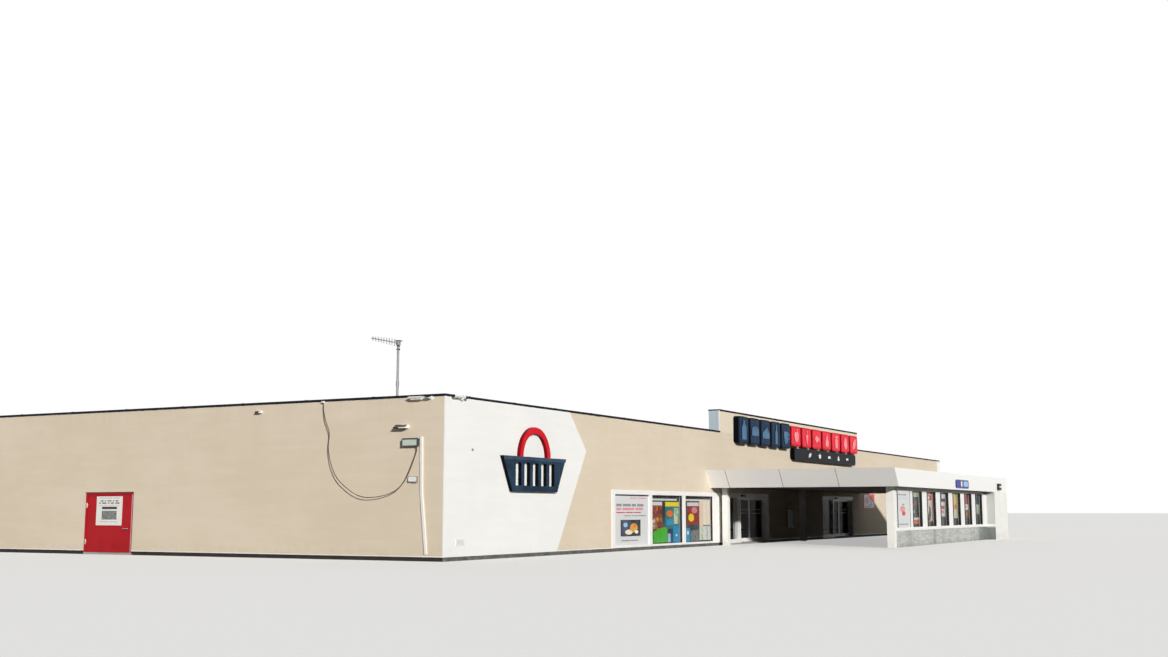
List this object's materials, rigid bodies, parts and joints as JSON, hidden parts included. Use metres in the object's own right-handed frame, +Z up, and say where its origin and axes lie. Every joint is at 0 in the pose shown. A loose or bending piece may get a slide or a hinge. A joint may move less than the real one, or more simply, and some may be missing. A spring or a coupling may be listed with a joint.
{
  "type": "supermarket building, 1:2 scale model",
  "caption": "Long flat-roofed supermarket hall with a raised sign wall, a glazed porch under a leaning white fascia, sliding entrance doors and a side door.",
  "frame": {"origin": "on the ground, at the middle of the hall's floor", "axes": "X along the shop front to the right, Y from the front to the back, Z up"},
  "size_m": [34.732, 22.685, 3.93],
  "materials": {
    "concrete": "trowelled concrete",
    "plinth_stone": "grey split stone facing",
    "render": "beige mineral render",
    "roofing": "dark roofing sheet",
    "coping_metal": "anthracite coated sheet",
    "white_metal": "white coated sheet",
    "glass": "clear glazing",
    "aluminium": "mill finish",
    "red_metal": "red coated",
    "soffit_metal": "matt sheet",
    "white_render": "white painted render",
    "slate_plastic": "slate blue",
    "red_plastic": "red",
    "navy_plastic": "navy blue",
    "black_plastic": "black",
    "fitting_plastic": "weathered white",
    "cable_rubber": "black sheath"
  },
  "bodies": {
    "building": {"floor_slab": "concrete", "wall_plinth": "plinth_stone", "front_wall": "render", "wall_heads": "render", "side_walls": "render", "back_wall": "render", "roof_slab": "roofing", "sign_wall": "render", "wall_coping": "coping_metal", "shop_frame": "white_metal", "shop_glass": "glass", "door_1_frame": "white_metal", "side_light_glass": "glass", "door_tracks": "aluminium", "door_2_frame": "white_metal", "side_door_frame": "red_metal", "canopy_deck": "roofing", "canopy_soffit": "soffit_metal", "side_fascia": "white_metal", "front_fascia": "white_metal", "porch_posts": "white_render", "screen_plinth": "plinth_stone", "screen_frame": "white_metal", "screen_glass": "glass", "end_fin": "white_render", "corner_panel": "white_render", "wall_motif": "slate_plastic", "motif_handle": "red_plastic", "sign_navy": "navy_plastic", "sign_red": "red_plastic", "sign_bar": "black_plastic", "side_fittings": "fitting_plastic", "front_fittings": "fitting_plastic", "roof_aerial": "aluminium", "wall_cable": "cable_rubber"},
    "door_1_left": {"door_1_left_leaf": "white_metal", "door_1_left_glass": "glass"},
    "door_1_right": {"door_1_right_leaf": "white_metal", "door_1_right_glass": "glass"},
    "door_2_left": {"door_2_left_leaf": "white_metal", "door_2_left_glass": "glass"},
    "door_2_right": {"door_2_right_leaf": "white_metal", "door_2_right_glass": "glass"},
    "side_door": {"side_door_leaf": "red_metal", "side_door_board": "white_metal"}
  },
  "joints": [
    {"name": "door_1_left_slide", "type": "slide", "parent": "building", "child": "door_1_left", "axis": [-1, 0, 0], "range_m": [0, 0.9725]},
    {"name": "door_1_right_slide", "type": "slide", "parent": "building", "child": "door_1_right", "axis": [1, 0, 0], "range_m": [0, 0.9725]},
    {"name": "door_2_left_slide", "type": "slide", "parent": "building", "child": "door_2_left", "axis": [-1, 0, 0], "range_m": [0, 0.9725]},
    {"name": "door_2_right_slide", "type": "slide", "parent": "building", "child": "door_2_right", "axis": [1, 0, 0], "range_m": [0, 0.9725]},
    {"name": "side_door_hinge", "type": "hinge", "parent": "building", "child": "side_door", "pos_m": [-17.3095, -0.546, 0.6], "axis": [0, 0, -1], "range_deg": [0, 100]}
  ],
  "couplings": [
    {"joint": "door_1_right_slide", "follows": "door_1_left_slide", "ratio": 1},
    {"joint": "door_2_right_slide", "follows": "door_2_left_slide", "ratio": 1}
  ]
}
